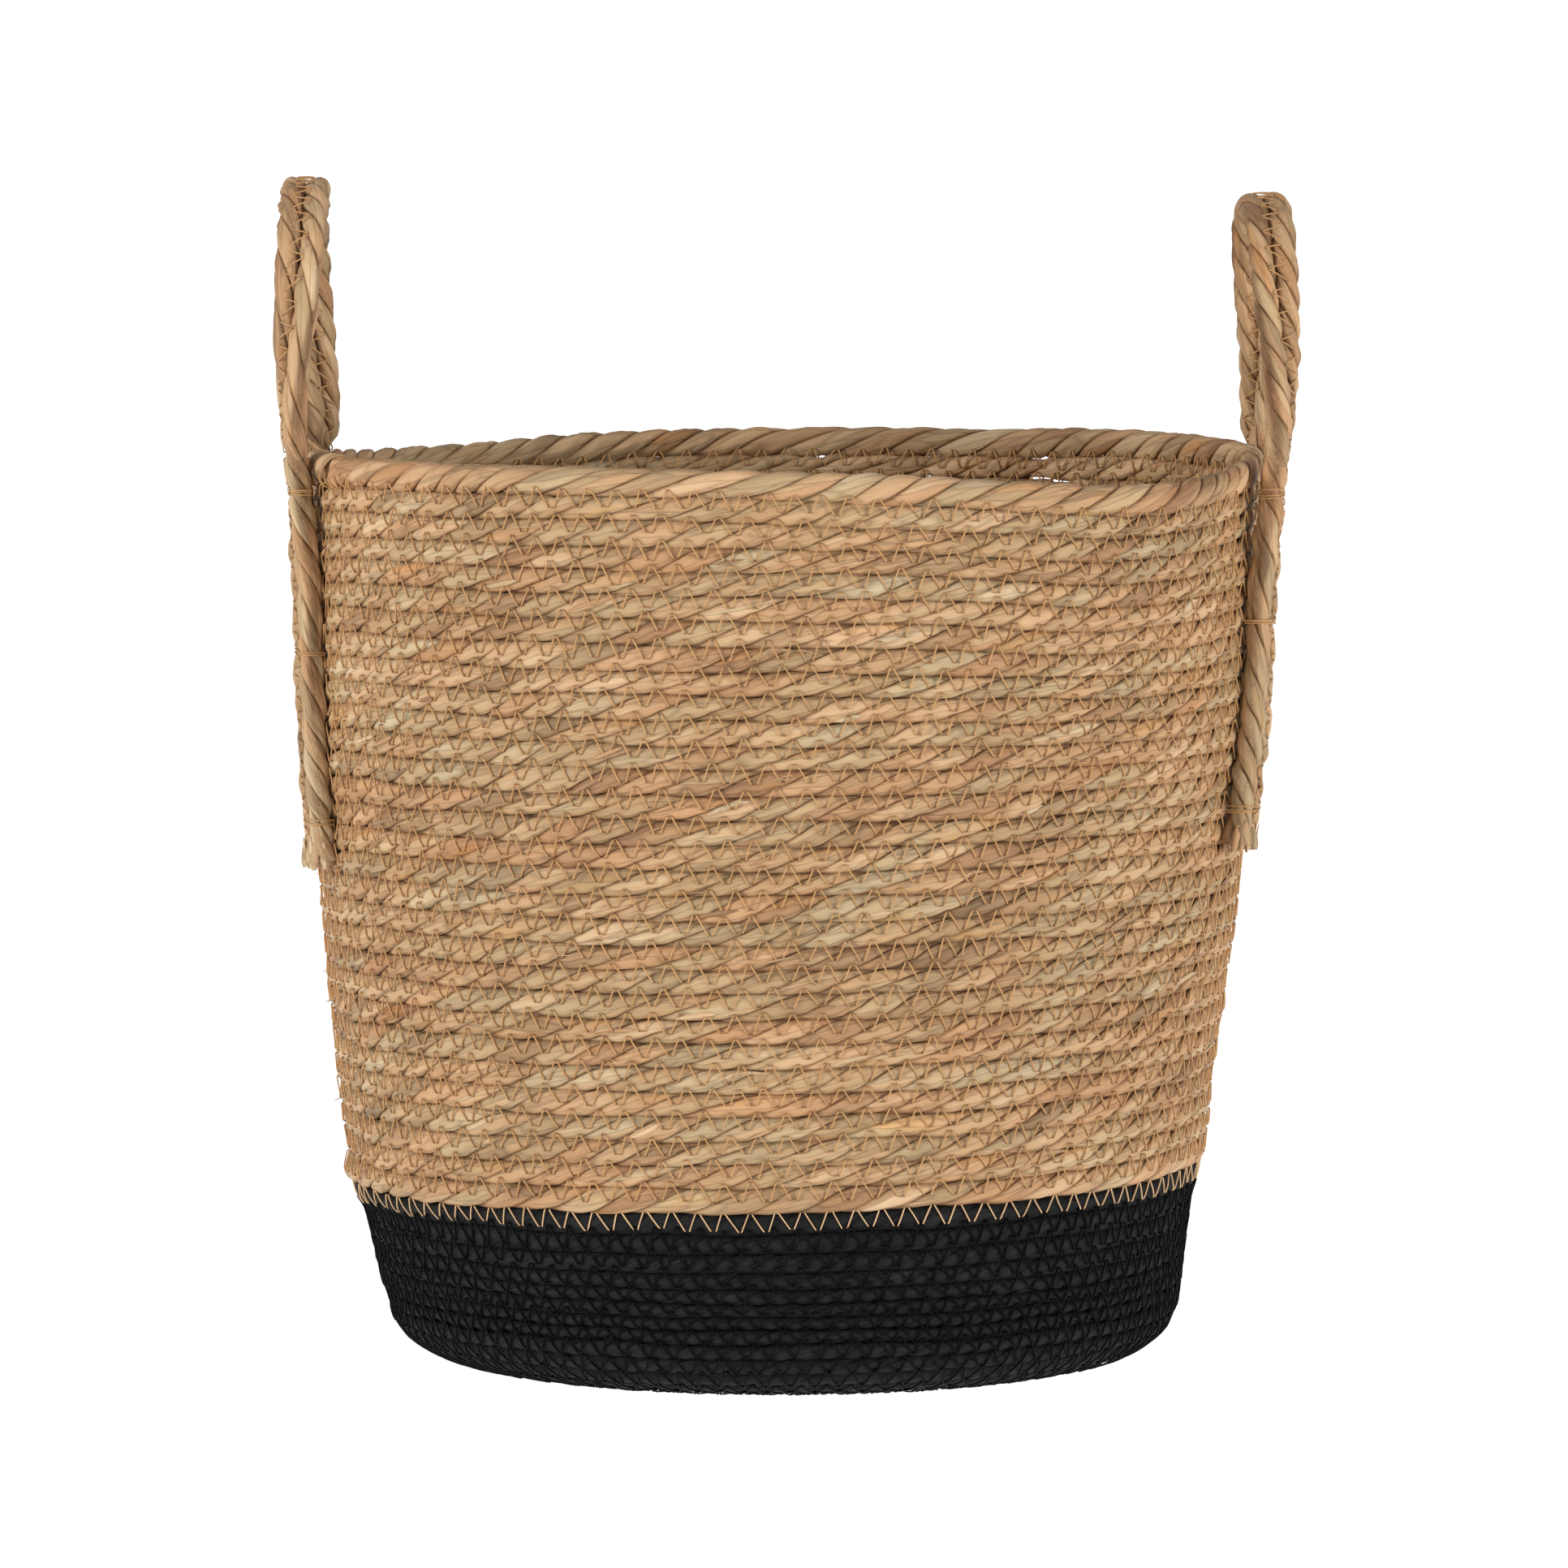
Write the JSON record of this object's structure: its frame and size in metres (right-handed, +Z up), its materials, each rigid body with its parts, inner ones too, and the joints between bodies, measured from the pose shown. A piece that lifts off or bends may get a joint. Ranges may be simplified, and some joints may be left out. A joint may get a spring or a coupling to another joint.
{
  "type": "laundry basket",
  "caption": "Round coiled rope basket with an open top, a dark bottom band and upright sewn strap handles that flex just above the rim.",
  "frame": {"origin": "middle of the flat underside, on the surface that the basket stands on", "axes": "+Z up, +X from the middle towards the right handle, +Y towards the back"},
  "size_m": [0.4276, 0.4, 0.49],
  "materials": {
    "natural_rope": "matte",
    "black_rope": "matte",
    "brown_thread": "satin",
    "black_thread": "satin"
  },
  "bodies": {
    "basket": {"base_coil": "black_rope", "base_seam_thread": "black_thread", "black_wall_coil": "black_rope", "black_seam_thread": "black_thread", "natural_wall_coil": "natural_rope", "natural_seam_thread": "brown_thread", "join_seam_thread": "brown_thread", "rim_rope": "natural_rope", "left_front_tail_inside_rope": "natural_rope", "left_front_tail_outside_rope": "natural_rope", "left_front_tail_thread": "brown_thread", "left_back_tail_inside_rope": "natural_rope", "left_back_tail_outside_rope": "natural_rope", "left_back_tail_thread": "brown_thread", "left_front_lashings": "brown_thread", "left_back_lashings": "brown_thread", "right_front_tail_inside_rope": "natural_rope", "right_front_tail_outside_rope": "natural_rope", "right_front_tail_thread": "brown_thread", "right_back_tail_inside_rope": "natural_rope", "right_back_tail_outside_rope": "natural_rope", "right_back_tail_thread": "brown_thread", "right_front_lashings": "brown_thread", "right_back_lashings": "brown_thread"},
    "left_handle": {"left_loop_inside_rope": "natural_rope", "left_loop_outside_rope": "natural_rope", "left_loop_thread": "brown_thread"},
    "right_handle": {"right_loop_inside_rope": "natural_rope", "right_loop_outside_rope": "natural_rope", "right_loop_thread": "brown_thread"}
  },
  "joints": [
    {"name": "left_handle_flex", "type": "hinge", "parent": "basket", "child": "left_handle", "pos_m": [-0.20327, 0, 0.386], "axis": [0, 1, 0], "range_deg": [-45, 60], "stiffness_Nm_per_rad": 0.4},
    {"name": "right_handle_flex", "type": "hinge", "parent": "basket", "child": "right_handle", "pos_m": [0.20327, 0, 0.386], "axis": [0, -1, 0], "range_deg": [-45, 60], "stiffness_Nm_per_rad": 0.4}
  ]
}
